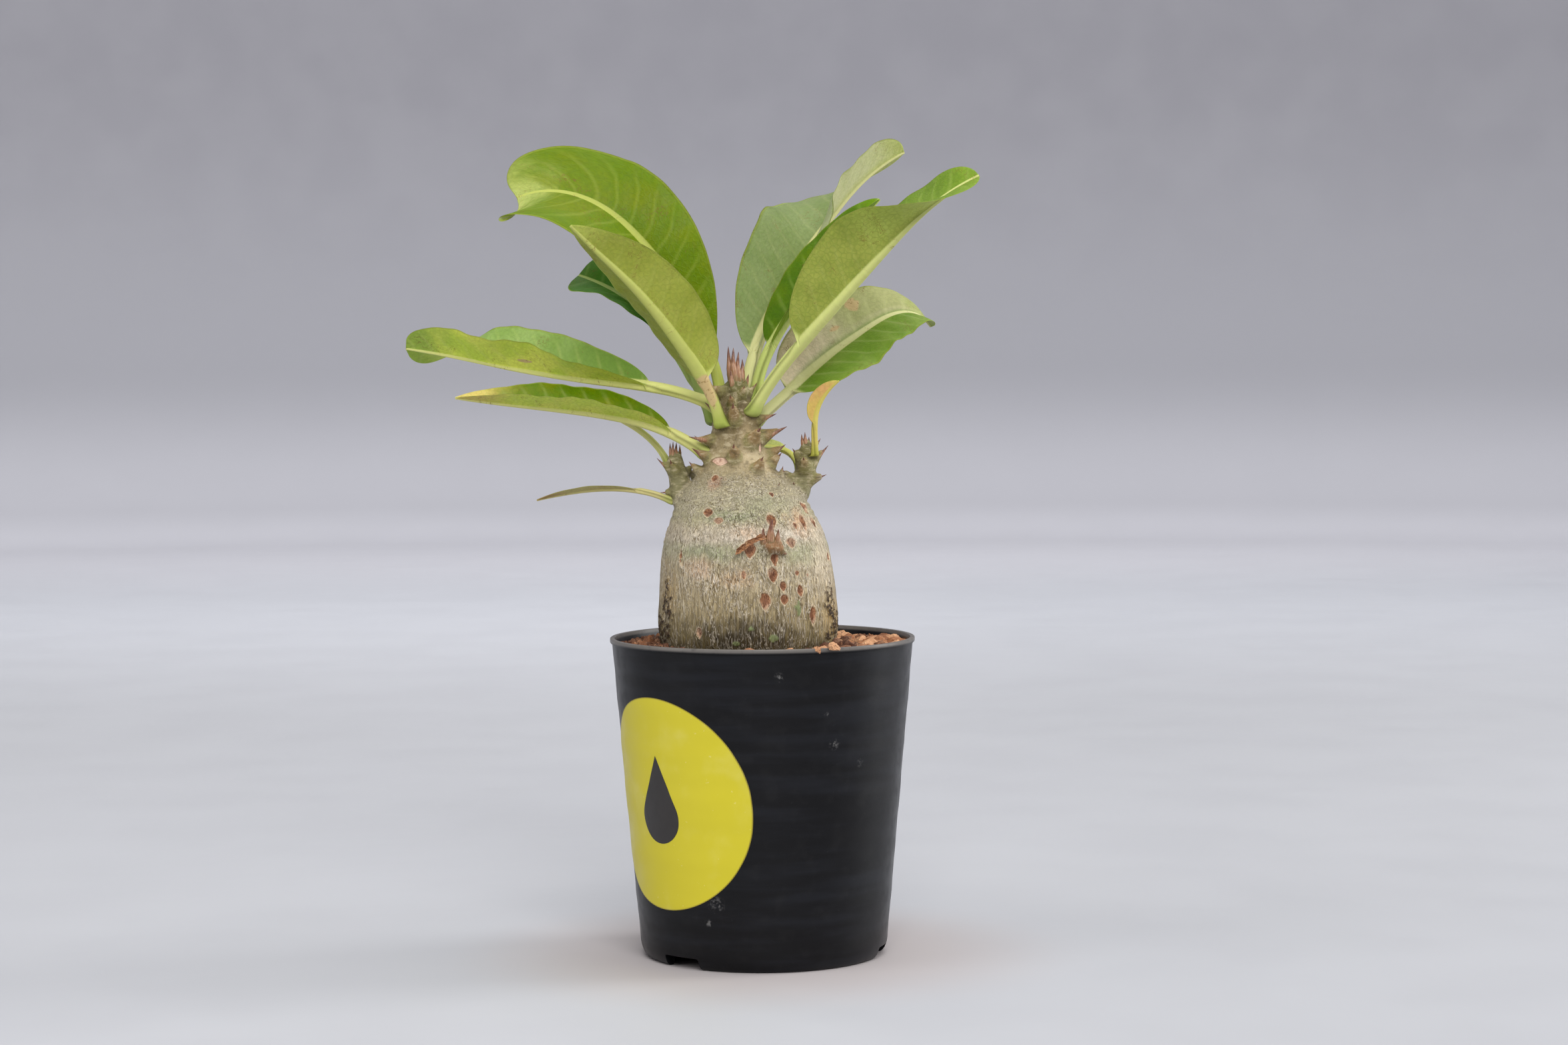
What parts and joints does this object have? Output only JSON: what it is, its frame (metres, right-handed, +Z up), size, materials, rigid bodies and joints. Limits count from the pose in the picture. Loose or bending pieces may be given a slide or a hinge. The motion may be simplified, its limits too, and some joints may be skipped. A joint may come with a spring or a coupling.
{
  "type": "potted pachypodium",
  "caption": "Young bottle-trunked succulent tree with spiny neck and long strap leaves, in a round black nursery pot with clay granules and a plain yellow label.",
  "frame": {"origin": "under the middle of the pot, on the ground that it stands on", "axes": "+Z up along the pot's axis, -Y towards the front, which has the label at its left"},
  "size_m": [0.1692, 0.1098, 0.2434],
  "materials": {
    "black plastic": "satin, lightly scuffed and dusty, paler at the lip",
    "yellow paper": "coated paper",
    "baked clay": "dry, rough granules",
    "bark": "finely wrinkled, silvery with brown scars",
    "leaf": "satin above, matt and paler below",
    "old leaf": "matt, yellowing"
  },
  "bodies": {
    "root": {"pot": "black plastic", "label": "yellow paper", "soil": "baked clay", "caudex": "bark", "leaf_01": "leaf", "leaf_02": "leaf", "leaf_03": "leaf", "leaf_04": "leaf", "leaf_05": "leaf", "leaf_06": "old leaf", "leaf_07": "leaf", "leaf_08": "leaf", "leaf_09": "leaf", "leaf_10": "leaf", "leaf_11": "leaf", "leaf_12": "old leaf", "leaf_13": "leaf"}
  },
  "joints": []
}
